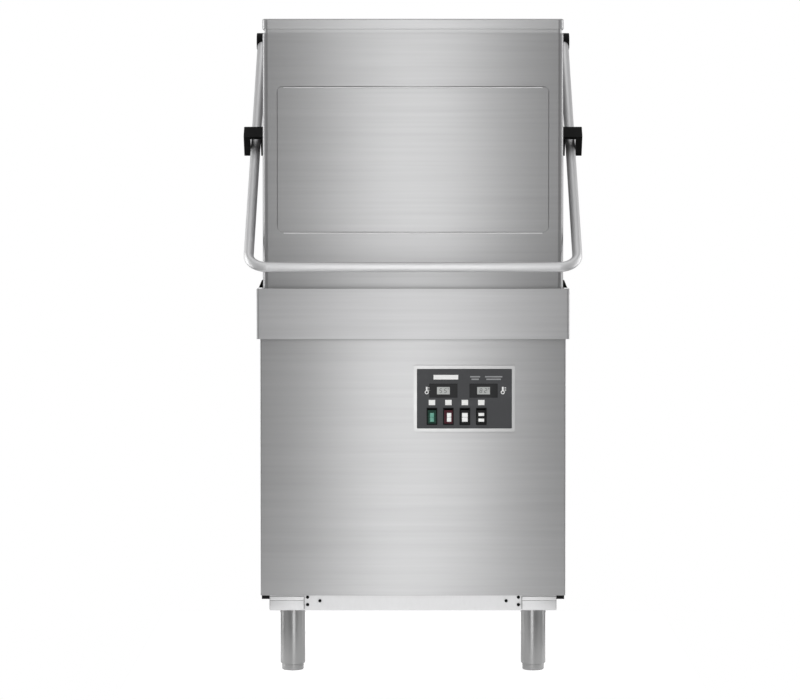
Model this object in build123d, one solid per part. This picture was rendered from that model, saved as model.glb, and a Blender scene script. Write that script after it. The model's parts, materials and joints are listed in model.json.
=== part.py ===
"""Hood-type commercial dishwasher, closed.

X runs across the machine, +Y points to its back, +Z points up from the floor.
Sub-parts are modelled with Y = 0 on the cabinet's front face, and are written with the origin
at the centre of the overall box, on the floor.
"""
from build123d import *
from math import atan2, cos, degrees, radians, sin
import os

# ---- overall sizes (mm) ----
cabinet_width = 669.0
cabinet_depth = 650.0
foot_height = 138.0
frame_height = 33.0
collar_bottom = 735.0
collar_height = 110.0
hood_top = 1434.0
hood_width = cabinet_width - 11.0
hood_rear = cabinet_depth - 60.0
rear_reach = cabinet_depth + 40.0

# ---- sheet, walls and clearances ----
sheet = 1.5
panel_sheet = 1.2
frame_wall = 2.5
running_gap = 0.05
slide_gap = 1.0
seat_gap = 1.0
overcut = 1.0

# ---- feet ----
foot_inset_x = 68.5
rear_foot_spread = 21.0
foot_inset_y = 55.0
sleeve_diameter = 55.0
sleeve_cap = 6.0
stem_diameter = 44.0
pad_diameter = 48.0
pad_height = 15.4
pad_chamfer = 1.5
stem_length = 95.0
foot_plate_width = 77.0
foot_plate_height = 28.0
foot_plate_sheet = 2.0
screw_radius = 3.5
screw_spots = ((6.5, 29.0), (6.5, 12.5), (33.5, 21.0))

# ---- base frame ----
frame_inset_x = 19.5
frame_inset_y = 3.0
frame_rear_inset = 5.0
rail_width = 30.0
bar_width = 60.0
panel_return = 13.5
panel_flange = 13.0
panel_joint = 0.5
panel_hole_gap = 1.0
panel_corner = 3.0
flange = 15.0
plug_size = (17.0, 16.0, 8.0)
vent_rows = 6
vent_slot = (140.0, 6.0)
vent_place = (150.0, 420.0)
vent_pitch = 22.0

# ---- collar and tank rim ----
collar_overhang_x = 7.5
collar_overhang_y = 8.0
collar_return = 18.0
collar_corner = 5.0
hood_front = 6.0
hood_slot = 2.5
gutter_depth = 30.0
rim_inset = 9.0
rim_front_inset = 14.0
rim_height = 37.0
rim_rear = hood_rear - 18.0
rim_corner = 19.5
tank_depth = 113.5
sump_half_width = hood_width / 2 - 109.0
sump_front = 120.0
sump_rear = cabinet_depth - 170.0
sump_depth = 160.0
wedge_length = 40.0
wedge_base = 9.0
wedge_tip = 2.5
wedge_height = 16.0

# ---- hood ----
hood_corner = 12.0
lid_height = 22.0
lid_neck_height = 10.0
lid_neck_inset = 4.0
lid_edge = 3.0
press_width = hood_width - 60.0
press_bottom = 966.0
press_top = hood_top - 145.0
press_depth = 2.0
press_corner = 14.0

# ---- handle and its shaft ----
bar_reach = 50.0
bar_height = 894.0
tube_diameter = 22.0
tube_wall = 2.0
arm_offset = hood_width / 2 + 29.0
bend_radius = 40.0
shaft_y = hood_rear + 22.0
shaft_z = hood_top - 24.0
shaft_diameter = 20.0
shaft_seat = 14.0
boss_diameter = 40.0
boss_edge = 1.5
boss_inner = arm_offset - 24.0
boss_outer = arm_offset + 13.0
lever_length = 45.0
lever_rest_angle = 8.0
lever_thickness = 12.0
lever_hub = 16.0
lever_bar = (6.0, 14.0)
lever_eye = 7.0
lever_hole = 3.0
spring_offset = 110.0
spring_diameter = 34.0
spring_wall = 5.0
spring_hook = 2.5
spring_anchor_z = 895.0
anchor_bar = (5.0, 30.0)
anchor_tab = (24.0, 4.0)

# ---- saddle blocks on the hood's sides ----
saddle_y = hood_rear - 300.0
saddle_above_tube = 6.0
saddle_length = 38.0
saddle_top = 31.0
saddle_bottom = 23.0
saddle_roof = 7.0
saddle_edge = 2.0
saddle_inner = hood_width / 2 + 4.0
saddle_outer = arm_offset + 26.0
saddle_side_gap = 1.5
pin_diameter = 16.0
pin_plate = 60.0
pin_plate_thickness = 3.0
pin_plate_corner = 8.0

# ---- rear columns and hood shoes ----
column_inner = hood_width / 2 - 67.0
column_outer = hood_width / 2 - 11.0
column_front = hood_rear + 2.0
column_rear = hood_rear + 46.0
column_slot = 20.0
column_drop = 6.0
bush_radius = 15.0
bush_collar = (17.0, 4.0)
shoe_height = 40.0
shoe_levels = (862.0, 924.0)
bracket_sheet = 1.6
bracket_half = 14.0
bracket_margin = 10.0
cover_slot = (180.0, 7.0)
cover_slot_x = 130.0
cover_rows = 9
cover_pitch = 20.0
cover_margin = 60.0

# ---- wash system ----
spindle_y = hood_rear / 2
pipe_diameter = 35.0
pipe_bend = 50.0
hub_radius = 20.0
spindle_diameter = 24.0
rinse_spindle_diameter = 16.0
spindle_cap = 13.0
lower_arm_z = 762.0
upper_arm_z = hood_top - 144.0
wash_pipe_z = hood_top - 94.0
riser_y = rim_rear - 24.0
wash_arm_half = riser_y - spindle_y - 31.0
rinse_arm_half = wash_arm_half - 2.0
wash_arm_size = (28.0, 22.0, 4.0)
wash_hub_radius = 26.0
wash_jet = (18.0, 5.0)
wash_jet_pitch = 45.0
rinse_arm_radius = 6.0
rinse_hub_radius = 16.0
rinse_nozzle = (4.0, 9.0)
rinse_nozzle_pitch = 48.0
rail_rod = 4.0
rack_edges = (238.0, 256.0)
rack_guard = 25.0
rack_sheet = 2.0
filter_sheet = 2.0
filter_lip = 14.0
filter_slot = (78.0, 5.0)
filter_pitch = 24.5
filter_hole = 24.0
standpipe_radius = 19.0
strainer_radius = 38.0
strainer_height = 70.0
element_radius = 4.5
motor_radius = 65.0
motor_end = 236.0
volute_radius = 85.0
hose_wall = 3.0
boiler_radius = 0.1375 * cabinet_width
boiler_inset = 0.055 * cabinet_width
boiler_top = 490.0
dosing_size = (62.0, 60.0, 82.0)
box_depth = 112.0
box_clearance = 13.3

# ---- control panel ----
bezel_left = 1.5
bezel_width = 222.0
bezel_bottom = 531.7
bezel_height = 145.0
bezel_border = 7.0
bezel_depth = 3.0
bezel_corner = 4.0
fascia_depth = 2.0
fascia_corner = 2.0
switch_width = 23.0
switch_height = 37.4
switch_rim = 1.8
switch_rim_depth = 1.2
switch_body_depth = 22.0
switch_wall = 3.0
switch_first = 40.0
switch_pitch = 36.0
switch_level = 33.7
rocker_gap = 0.5
rocker_swing = 14.0
rocker_pivot_y = 3.0
rocker_back = 5.0
rocker_ends = 1.9
rocker_proud = 1.5
trunnion_radius = 1.5
display_size = (28.0, 16.0, 0.8)
lamp_radius = 4.5
lamp_depth = 1.2

# ---- derived places ----
half_cabinet = cabinet_width / 2
half_hood = hood_width / 2
frame_top = foot_height + frame_height
frame_rear = cabinet_depth - frame_rear_inset
collar_top = collar_bottom + collar_height
half_collar = half_cabinet + collar_overhang_x
collar_front = -collar_overhang_y
collar_rear = cabinet_depth + collar_overhang_y
gutter_floor = collar_top - gutter_depth
half_rim = half_hood - rim_inset
rim_front = hood_front + rim_front_inset
hood_bottom = gutter_floor + seat_gap
neck_bottom = hood_top - lid_height - lid_neck_height
column_top = hood_top - column_drop
column_middle = (column_inner + column_outer) / 2
tank_top = gutter_floor - sheet
tank_floor = tank_top - tank_depth
sump_floor = tank_floor - sump_depth
sump_base = sump_floor + sheet
front_foot_x = half_cabinet - foot_inset_x
foot_xs = (front_foot_x, front_foot_x + rear_foot_spread)
foot_ys = (foot_inset_y, cabinet_depth - foot_inset_y)
frame_half = half_cabinet - frame_inset_x
handle_reach = bar_reach + tube_diameter / 2
arm_angle = atan2(shaft_z - bar_height, shaft_y + bar_reach)
tube_at_saddle = shaft_z - (shaft_y - saddle_y) * sin(arm_angle) / cos(arm_angle)
saddle_z = tube_at_saddle + saddle_above_tube / cos(arm_angle)
saddle_channel_inner = arm_offset - tube_diameter / 2 - saddle_side_gap
saddle_channel_outer = arm_offset + tube_diameter / 2 + saddle_side_gap
spring_y = shaft_y + lever_length * cos(radians(lever_rest_angle))
lever_end_z = shaft_z + lever_length * sin(radians(lever_rest_angle))
bar_levels = (260.0, sump_rear)
inlet_place = (-150.0, 235.0, 13.2)
drain_place = (-70.0, 215.0, 20.0)
gland_place = (120.0, 215.0, 12.0)
pump_y, pump_z = bar_levels[0], 300.0
pump_outlet_y = pump_y - 60.0
cable_radius = 7.5
standpipe_x, standpipe_y = drain_place[0], sump_rear - 50.0
strainer_x, strainer_y = -110.0, pump_y
display_level = bezel_bottom + 90.0
display_centres = (bezel_left + 65.0, bezel_left + 153.0)
lamp_level = bezel_bottom + 64.0
centre_shift = Pos(0, -(rear_reach - handle_reach) / 2, 0)

nodes = {}


def block(x0, x1, y0, y1, z0, z1):
    """Solid box between two corners."""
    middle = Pos((x0 + x1) / 2, (y0 + y1) / 2, (z0 + z1) / 2)
    return middle * Box(x1 - x0, y1 - y0, z1 - z0)


def rounded_block(half_width, y0, y1, z0, z1, radius):
    """Box centred on X = 0 whose four upright corners are rounded."""
    outline = RectangleRounded(2 * half_width, y1 - y0, radius)
    return Pos(0, (y0 + y1) / 2, z0) * extrude(outline, amount=z1 - z0)


def ring(half_width, y0, y1, z0, z1, wall, radius):
    """Upright sheet wall that runs all round a rounded rectangle."""
    outer = rounded_block(half_width, y0, y1, z0, z1, radius)
    inner_radius = max(radius - wall, wall)
    inner = rounded_block(half_width - wall, y0 + wall, y1 - wall, z0, z1, inner_radius)
    return outer - inner


def front_rounded(half_width, y0, y1, z0, z1, radius):
    """Box centred on X = 0 with only its two front upright corners rounded."""
    shape = block(-half_width, half_width, y0, y1, z0, z1)
    return fillet(shape.edges().filter_by(Axis.Z).group_by(Axis.Y)[0], radius)


def rod(radius, start, end):
    """Round bar from one point to another."""
    a, b = Vector(*start), Vector(*end)
    run = b - a
    place = Plane(origin=a, z_dir=run)
    return extrude(place * Circle(radius), amount=run.length)


def pipe(radius, wall, start, end):
    """Straight tube from one point to another."""
    return rod(radius, start, end) - rod(radius - wall, start, end)


def bent_pipe(points, bend, radius, wall):
    """Tube along straight runs with rounded corners."""
    path = FilletPolyline(*points, radius=bend)
    section = Plane(origin=path @ 0, z_dir=path % 0)
    outer = sweep(section * Circle(radius), path=path)
    inner = sweep(section * Circle(radius - wall), path=path)
    return outer - inner


def both_sides(shape):
    """A shape and its mirror image across X = 0."""
    return [shape, mirror(shape, about=Plane.YZ)]


def add_node(name, *shapes):
    """Keep one node, as a group of separate solids."""
    solids = []
    for shape in shapes:
        for item in shape if isinstance(shape, list) else [shape]:
            solids += [solid.moved(centre_shift) for solid in item.solids()]
    nodes[name] = solids[0] if len(solids) == 1 else Compound(children=solids)


# ---------------------------------------------------------------- base and feet
def make_base_frame():
    rear = frame_rear
    outer = block(-frame_half, frame_half, frame_inset_y, rear, foot_height, frame_top)
    web = frame_half - frame_wall
    hollow = block(-web, web, frame_inset_y + frame_wall, rear - frame_wall,
                   foot_height + frame_wall, frame_top - frame_wall)
    inside = frame_half - rail_width
    middle = block(-inside, inside, frame_inset_y + rail_width, rear - rail_width,
                   foot_height, frame_top)
    frame = outer - hollow - middle
    for level in bar_levels:
        frame += block(-inside - overcut, inside + overcut, level - bar_width / 2, level + bar_width / 2,
                       frame_top - frame_wall, frame_top)
    add_node("base_frame", frame)


def make_foot_mounts():
    parts = []
    for foot_x, y in zip(foot_xs, foot_ys):
        sleeve = rod(sleeve_diameter / 2, (foot_x, y, pad_height), (foot_x, y, foot_height))
        bore = rod(stem_diameter / 2 + running_gap, (foot_x, y, pad_height),
                   (foot_x, y, foot_height - sleeve_cap))
        parts += both_sides(sleeve - bore)
        front = frame_inset_y - foot_plate_sheet if y < cabinet_depth / 2 else frame_rear
        plate_left = frame_half - foot_plate_width
        tab = block(plate_left, frame_half, front, front + foot_plate_sheet,
                    frame_top - foot_plate_sheet - foot_plate_height, frame_top - foot_plate_sheet)
        parts += both_sides(tab)
    add_node("foot_mounts", parts)


def make_foot_pads():
    names = {(-1, 0): "foot_front_left", (1, 0): "foot_front_right",
             (-1, 1): "foot_rear_left", (1, 1): "foot_rear_right"}
    for (side, row), name in names.items():
        x, y = side * foot_xs[row], foot_ys[row]
        pad = rod(pad_diameter / 2, (x, y, 0), (x, y, pad_height))
        pad = chamfer(pad.edges().group_by(Axis.Z)[0], pad_chamfer)
        stem = rod(stem_diameter / 2, (x, y, pad_height), (x, y, pad_height + stem_length))
        add_node(name, pad + stem)


def make_base_screws():
    front = frame_inset_y - foot_plate_sheet
    plate_left = frame_half - foot_plate_width
    screws = []
    for inward, height in screw_spots:
        x, z = plate_left - inward, foot_height + height
        head = rod(screw_radius, (x, frame_inset_y, z), (x, front, z))
        screws += both_sides(head)
    add_node("base_screws", screws)


# ---------------------------------------------------------------- cabinet panels
def control_cutout():
    left = bezel_left + bezel_border
    right = bezel_left + bezel_width - bezel_border
    low = bezel_bottom + bezel_border
    return block(left, right, -overcut, panel_sheet + overcut, low, low + bezel_height - 2 * bezel_border)


def make_front_panel():
    outer = block(-half_cabinet, half_cabinet, 0, panel_return, frame_top, collar_bottom)
    outer = fillet(outer.edges().filter_by(Axis.Z).group_by(Axis.Y)[0], panel_corner)
    inner = block(-half_cabinet + panel_sheet, half_cabinet - panel_sheet, panel_sheet,
                  panel_return, frame_top + panel_sheet, collar_bottom - panel_sheet)
    add_node("front_panel", outer - inner - control_cutout())


def make_side_panels():
    front = panel_return + panel_joint
    skin = block(half_cabinet - panel_flange, half_cabinet, front, cabinet_depth,
                 frame_top, collar_bottom)
    hollow = block(half_cabinet - panel_flange, half_cabinet - panel_sheet, front + panel_sheet,
                   cabinet_depth - panel_sheet, frame_top + panel_sheet,
                   collar_bottom - panel_sheet)
    panel = skin - hollow
    add_node("side_panels", both_sides(panel))


def make_rear_panel():
    half = half_cabinet - panel_flange - panel_joint
    panel = block(-half, half, cabinet_depth - panel_sheet, cabinet_depth,
                  frame_top, collar_bottom)
    for x, z, radius in (inlet_place, drain_place, gland_place):
        panel -= rod(radius + panel_hole_gap, (x, cabinet_depth - flange, z), (x, cabinet_depth + flange, z))
    for row in range(vent_rows):
        louvre = extrude(Plane.XZ * SlotOverall(*vent_slot), amount=flange, both=True)
        panel -= Pos(vent_place[0], cabinet_depth, vent_place[1] + vent_pitch * row) * louvre
    add_node("rear_panel", panel)


def make_panel_plugs():
    plugs = []
    across, along, tall = plug_size
    for front in (frame_inset_y - overcut, frame_rear - along - overcut):
        plugs += both_sides(block(frame_half, frame_half + across, front, front + along,
                                  frame_top - tall, frame_top))
    add_node("panel_plugs", plugs)


def make_collar():
    slot_half = half_hood + hood_slot
    slot_front = hood_front - hood_slot
    slot_rear = column_front
    shell = rounded_block(half_collar, collar_front, collar_rear,
                          collar_bottom, collar_top, collar_corner)
    shell -= rounded_block(half_collar - sheet, collar_front + sheet, collar_rear - sheet,
                           collar_bottom + sheet, collar_top - sheet, collar_corner - sheet)
    shell -= block(-half_collar + collar_return, half_collar - collar_return,
                   collar_front + collar_return, collar_rear - collar_return,
                   collar_bottom, collar_bottom + sheet)
    slot_corner = hood_corner + hood_slot
    shell -= front_rounded(slot_half, slot_front, slot_rear, collar_top - sheet, collar_top,
                           slot_corner)
    drop = front_rounded(slot_half + sheet, slot_front - sheet, slot_rear + sheet,
                         gutter_floor - sheet, collar_top - sheet / 2, slot_corner + sheet)
    drop -= front_rounded(slot_half, slot_front, slot_rear, gutter_floor, collar_top, slot_corner)
    drop -= rounded_block(half_rim - sheet, rim_front + sheet, rim_rear - sheet,
                          gutter_floor - sheet, gutter_floor, rim_corner - sheet)
    upstand = ring(half_rim, rim_front, rim_rear, gutter_floor - sheet / 2,
                   gutter_floor + rim_height, sheet, rim_corner)
    add_node("collar", shell + drop + upstand)


def make_hood_wedges():
    base = half_hood + hood_slot
    wedges = []
    top = collar_top + wedge_height
    for y in (hood_front + 2 * wedge_length, hood_rear - 2 * wedge_length):
        outline = Plane.XZ * Polyline((base, collar_top), (base + wedge_base, collar_top),
                                      (base + wedge_tip, top), (base, top), close=True)
        wedge = extrude(make_face(outline), amount=wedge_length / 2, both=True)
        wedges += both_sides(Pos(0, y, 0) * wedge)
    add_node("hood_wedges", wedges)


# ---------------------------------------------------------------- tank and wash system
def make_wash_tank():
    deck = rounded_block(half_rim, rim_front, rim_rear, tank_floor, tank_top, rim_corner)
    deck -= rounded_block(half_rim - sheet, rim_front + sheet, rim_rear - sheet,
                          tank_floor + sheet, tank_top, rim_corner - sheet)
    sump = block(-sump_half_width, sump_half_width, sump_front, sump_rear,
                 sump_floor, tank_floor + sheet)
    hollow = block(-sump_half_width + sheet, sump_half_width - sheet, sump_front + sheet,
                   sump_rear - sheet, sump_floor + sheet, tank_floor + sheet)
    tank = deck + sump - hollow
    tank -= rod(pipe_diameter / 2, (0, riser_y, tank_floor - sheet), (0, riser_y, tank_floor + 2 * sheet))
    add_node("wash_tank", tank)


def make_rack_guide():
    rod_z = gutter_floor + rim_height - rail_rod
    rail_z = rod_z + rail_rod
    inner, outer = rack_edges
    front, rear = rim_front + flange, rim_rear - 3 * flange
    shelf = block(inner, outer, front, rear, rail_z, rail_z + rack_sheet)
    guard = block(outer - rack_sheet, outer, front, rear, rail_z, rail_z + rack_guard)
    rails = both_sides(shelf + guard)
    guide = rails[0] + rails[1]
    reach = half_rim - sheet
    for y in (front + 2 * flange, rear - flange):
        guide = guide + rod(rail_rod, (-reach, y, rod_z + overcut / 2), (reach, y, rod_z + overcut / 2))
    add_node("rack_guide", guide)


def stacked_spindle(levels_and_radii):
    """Round column on the spindle axis, each step given as its lower end, upper end and radius."""
    column = None
    for low, high, radius in levels_and_radii:
        step = rod(radius, (0, spindle_y, low), (0, spindle_y, high))
        column = step if column is None else column + step
    return column


def make_lower_hub():
    wash, rinse = spindle_diameter / 2, rinse_spindle_diameter / 2
    seat = lower_arm_z - 2
    hub = stacked_spindle(((sump_base, seat, hub_radius), (seat, seat + 40, wash),
                           (seat + 40, seat + 64, rinse), (seat + 60, seat + 68, spindle_cap)))
    add_node("lower_hub", hub)


def make_upper_manifold():
    wash, rinse = spindle_diameter / 2, rinse_spindle_diameter / 2
    start = (0, riser_y, tank_floor)
    corner = (0, riser_y, wash_pipe_z)
    end = (0, spindle_y - hub_radius, wash_pipe_z)
    supply = bent_pipe([start, corner, end], pipe_bend, pipe_diameter / 2, sheet)
    cap = rod(pipe_diameter / 2, end, (0, spindle_y - hub_radius - 4, wash_pipe_z))
    seat = upper_arm_z + 28
    hub = stacked_spindle(((seat, wash_pipe_z, hub_radius), (seat - 40, seat, wash),
                           (seat - 64, seat - 40, rinse), (seat - 68, seat - 60, spindle_cap)))
    stay_bottom = wash_pipe_z - 130
    stay = block(-30, 30, riser_y + pipe_diameter / 2 - sheet / 3, rim_rear, stay_bottom, stay_bottom + 30)
    add_node("upper_manifold", supply + cap + hub + stay)


def wash_arm(level, jets_up):
    """Flat-sided hollow arm with a round hub and a row of jets."""
    wide, tall, edge = wash_arm_size
    tube = block(-wash_arm_half, wash_arm_half, spindle_y - wide / 2, spindle_y + wide / 2,
                 level, level + tall)
    tube = fillet(tube.edges().filter_by(Axis.X), edge)
    tube += rod(wash_hub_radius, (0, spindle_y, level - 1), (0, spindle_y, level + tall + 3))
    tube -= rod(spindle_diameter / 2 + running_gap, (0, spindle_y, level - 5),
                (0, spindle_y, level + tall + 8))
    face = level + tall if jets_up else level
    for index in range(1, 5):
        for side in (-1, 1):
            x = side * (wash_jet_pitch * index + hub_radius)
            tube -= Pos(x, spindle_y, face) * extrude(SlotOverall(*wash_jet), amount=3, both=True)
    return tube


def rinse_arm(level, jets_up):
    """Round tube arm with a hub and small spray nozzles."""
    middle = level + rinse_arm_radius
    tube = rod(rinse_arm_radius, (-rinse_arm_half, spindle_y, middle),
               (rinse_arm_half, spindle_y, middle))
    tube += rod(rinse_hub_radius, (0, spindle_y, level - 2), (0, spindle_y, level + 14))
    tube -= rod(rinse_spindle_diameter / 2 + running_gap, (0, spindle_y, level - 5),
                (0, spindle_y, level + 20))
    nozzle_radius, reach = rinse_nozzle
    tip = reach if jets_up else -reach
    for index in range(1, 5):
        for side in (-1, 1):
            x = side * rinse_nozzle_pitch * index
            tube += rod(nozzle_radius, (x, spindle_y, middle), (x, spindle_y, middle + tip))
    return tube


def make_arms():
    rinse_step = 41
    add_node("lower_wash_arm", wash_arm(lower_arm_z, True))
    add_node("lower_rinse_arm", rinse_arm(lower_arm_z + rinse_step, True))
    add_node("upper_wash_arm", wash_arm(upper_arm_z, False))
    add_node("upper_rinse_arm", rinse_arm(upper_arm_z - rinse_step + rinse_arm_radius * 2, False))


def make_filters():
    half = sump_half_width + filter_lip
    tray_z = tank_floor + sheet
    tray_top = tray_z + filter_sheet
    lift_y = sump_front + 80
    columns = (80.0, half - filter_lip - 48)
    rows = int((sump_rear - sump_front - filter_lip) / filter_pitch) + 1
    trays = []
    for side in (-1, 1):
        tray = block(3, half, sump_front - filter_lip, sump_rear + filter_lip, tray_z, tray_top)
        tray += block(70, 150, lift_y, lift_y + 4, tray_top - overcut, tray_top + 12)
        tray -= rod(filter_hole, (0, spindle_y, tray_z - overcut), (0, spindle_y, tray_top + overcut))
        for row in range(rows):
            y = sump_front + 8 + filter_pitch * row
            for column, x in enumerate(columns):
                near_lift = abs(y - lift_y - 2) < 12 and column == 0
                near_pipe = abs(y - standpipe_y) < filter_hole + 6 and column == 1
                if not near_lift and not near_pipe:
                    slot = extrude(SlotOverall(*filter_slot), amount=2 * filter_sheet)
                    tray -= Pos(x, y, tray_z - overcut) * slot
        tray = tray if side > 0 else mirror(tray, about=Plane.YZ)
        tray -= rod(filter_hole, (standpipe_x, standpipe_y, tray_z - overcut),
                    (standpipe_x, standpipe_y, tray_top + overcut))
        trays.append(tray)
    add_node("surface_filters", trays)


def make_standpipe():
    x, y = standpipe_x, standpipe_y
    grip_z = tank_floor + 36
    tube = pipe(standpipe_radius, sheet, (x, y, sump_base), (x, y, grip_z + 4))
    reach = standpipe_radius - 1
    grip = rod(3, (x - reach, y, grip_z), (x + reach, y, grip_z))
    add_node("standpipe", tube + grip)


def make_sump_strainer():
    x, y, radius = strainer_x, strainer_y, strainer_radius
    top = sump_base + strainer_height
    cup = pipe(radius, 2, (x, y, sump_base), (x, y, top))
    cup += rod(radius, (x, y, top - 2), (x, y, top))
    windows = 8
    for turn in range(windows):
        window = Rot(0, 0, 360 / windows * turn) * Pos(radius, 0, 0) * Box(10, 14, 44)
        cup -= Pos(x, y, sump_base + strainer_height / 2) * window
    cup += rod(5, (x, y, top - overcut), (x, y, top + 25))
    add_node("sump_strainer", cup)


def make_tank_element():
    z = sump_floor + 25
    outer, inner = 20 - sump_half_width, 60 - sump_half_width
    rear, front = sump_rear - sheet, strainer_y + strainer_radius + 17
    path = FilletPolyline((outer, rear, z), (outer, front, z), (inner, front, z), (inner, rear, z),
                          radius=19)
    section = Plane(origin=path @ 0, z_dir=path % 0) * Circle(element_radius)
    add_node("tank_element", sweep(section, path=path))


def make_wash_pump():
    y, z = pump_y, pump_z
    start = 36
    motor = rod(motor_radius, (start, y, z), (motor_end, y, z))
    for index in range(10):
        x = start + 20 + 17 * index
        motor += rod(motor_radius + 4, (x, y, z), (x + 5, y, z))
    motor += block(60, 200, y - 28, y + 28, frame_top, z - 50)
    motor += block(90, 170, y - 34, y + 34, z + 55, z + 90)
    add_node("wash_pump_motor", motor)
    volute = rod(volute_radius, (start - 68, y, z), (start, y, z))
    volute += rod(25, (0, pump_outlet_y, z), (0, pump_outlet_y, z + 105))
    volute += rod(26, (start - 96, y, z), (start - 68, y, z))
    add_node("wash_pump_volute", volute)


def make_hoses():
    suction = bent_pipe([(-60, pump_y, pump_z), (strainer_x, pump_y, pump_z),
                         (strainer_x, pump_y, sump_floor)], 38, 24, hose_wall)
    drain_z, radius = drain_place[1:]
    drain = bent_pipe([(standpipe_x, standpipe_y, sump_floor), (standpipe_x, standpipe_y, drain_z),
                       (standpipe_x, cabinet_depth - 30, drain_z)], 40, radius, hose_wall)
    add_node("hoses", suction, drain)


def make_wash_riser():
    level = pump_z + 150
    supply = bent_pipe([(0, pump_outlet_y, pump_z + 105), (0, pump_outlet_y, level),
                        (0, riser_y, level), (0, riser_y, tank_floor)],
                       40, pipe_diameter / 2 + 2, 2)
    branch = rod(pipe_diameter / 2, (0, spindle_y, level + 14), (0, spindle_y, sump_floor))
    add_node("wash_riser", supply + branch)


def make_boiler():
    x = boiler_radius + boiler_inset - half_cabinet
    y = cabinet_depth - 175
    shell = rod(boiler_radius, (x, y, frame_top + 12), (x, y, boiler_top))
    shell = fillet(shell.edges().filter_by(GeomType.CIRCLE), 16)
    stand = pipe(70, 4, (x, y, frame_top), (x, y, frame_top + 20))
    plate = rod(38, (x, y, boiler_top - 1), (x, y, boiler_top + 8))
    neck = rod(9, (x + 55, y, boiler_top - 5), (x + 55, y, boiler_top + 22))
    add_node("boiler", shell + stand + plate + neck)


def make_dosing_pumps():
    wide, deep, tall = dosing_size
    front = 18
    pumps = []
    for index in range(2):
        x = 40 - half_cabinet + (wide + 11) * index
        body = block(x, x + wide, front, front + deep, frame_top, frame_top + tall)
        middle, level = x + wide / 2, frame_top + 48
        head = rod(24, (middle, front + deep, level), (middle, front + deep + 20, level))
        pumps.append(body + head)
    add_node("dosing_pumps", pumps)


def hexagon_nut(x, y0, y1, z, radius):
    """Hexagonal nut whose axis runs front to back."""
    outline = Plane.XZ * RegularPolygon(radius, 6)
    return Pos(x, (y0 + y1) / 2, z) * extrude(outline, amount=(y1 - y0) / 2, both=True)


def make_services():
    rear = cabinet_depth
    x, z, radius = inlet_place
    bore = radius - 4
    thread = pipe(radius, 4, (x, rear - 22, z), (x, rear + 22, z))
    nut = hexagon_nut(x, rear - 22, rear - 12, z, 19) - rod(bore, (x, rear - 30, z), (x, rear, z))
    valve = block(x - 22, x + 22, rear - 80, rear - 21, z - 18, z + 18)
    valve += rod(16, (x, rear - 50, z + 17), (x, rear - 50, z + 58))
    valve += block(x - 4, x + 4, rear - 54, rear - 46, frame_top, z - 17)
    add_node("inlet_valve", thread + nut + valve)
    x, z, radius = drain_place
    spigot = pipe(radius, 3, (x, rear - 30, z), (x, rear + 36, z))
    spigot += pipe(radius + 6, 8, (x, rear - 12, z), (x, rear - panel_sheet, z))
    add_node("drain_spigot", spigot)
    x, z, radius = gland_place
    gland = rod(radius, (x, rear - 14, z), (x, rear + 14, z))
    gland += hexagon_nut(x, rear + 2, rear + 14, z, 19)
    gland += rod(14, (x, rear + 13, z), (x, rear + 30, z))
    gland -= rod(cable_radius, (x, rear - 20, z), (x, rear + 40, z))
    add_node("cable_gland", gland)


# ---------------------------------------------------------------- rear frame
def make_rear_wall():
    half, top = half_rim + 2, neck_bottom - 6
    wall = block(-half, half, rim_rear, rim_rear + sheet, gutter_floor, top)
    wings = both_sides(block(half - sheet, half, rim_rear, hood_rear - 3, gutter_floor, top))
    add_node("rear_wall", wall + wings[0] + wings[1])


def make_columns():
    outer = block(column_inner, column_outer, column_front, column_rear, collar_top, column_top)
    inner = block(column_inner + frame_wall, column_outer - frame_wall,
                  column_front + frame_wall, column_rear - frame_wall, collar_top, column_top)
    slot = block(column_middle - column_slot / 2, column_middle + column_slot / 2, column_front,
                 column_front + frame_wall, collar_top, column_top - 25)
    column = outer - inner - slot
    column -= rod(bush_radius, (column_inner - overcut, shaft_y, shaft_z),
                  (column_outer + overcut, shaft_y, shaft_z))
    add_node("rear_columns", both_sides(column))


def make_spring_anchor():
    deep, tall = anchor_bar
    wide, thick = anchor_tab
    bar = block(-column_middle, column_middle, column_rear, column_rear + deep,
                spring_anchor_z - tall, spring_anchor_z)
    for x in (-spring_offset, spring_offset):
        bar += block(x - wide / 2, x + wide / 2, column_rear + deep - overcut, spring_y + wide / 2,
                     spring_anchor_z - thick, spring_anchor_z)
    add_node("spring_anchor", bar)


def make_rear_cover():
    half = column_outer
    cover = block(-half, half, column_rear, rear_reach, collar_top, column_top + sheet)
    cover += block(-half, half, column_front + 1, column_rear, column_top, column_top + sheet)
    cover -= block(-half + sheet, half - sheet, column_rear, rear_reach - sheet,
                   collar_top + sheet, column_top)
    for row in range(cover_rows):
        level = collar_top + cover_margin + cover_pitch * row
        for x in (-cover_slot_x, cover_slot_x):
            slot = extrude(Plane.XZ * SlotOverall(*cover_slot), amount=2 * sheet, both=True)
            cover -= Pos(x, rear_reach, level) * slot
    add_node("rear_cover", cover)


def make_bearings():
    flange_radius, flange_depth = bush_collar
    bushes = []
    for start in (column_inner, column_outer - frame_wall):
        end = start + frame_wall
        bush = rod(bush_radius, (start, shaft_y, shaft_z), (end, shaft_y, shaft_z))
        bush += rod(flange_radius, (start - flange_depth, shaft_y, shaft_z), (start, shaft_y, shaft_z))
        bush -= rod(shaft_diameter / 2 + running_gap, (start - flange, shaft_y, shaft_z),
                    (end + flange, shaft_y, shaft_z))
        bushes += both_sides(bush)
    add_node("shaft_bearings", bushes)


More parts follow.
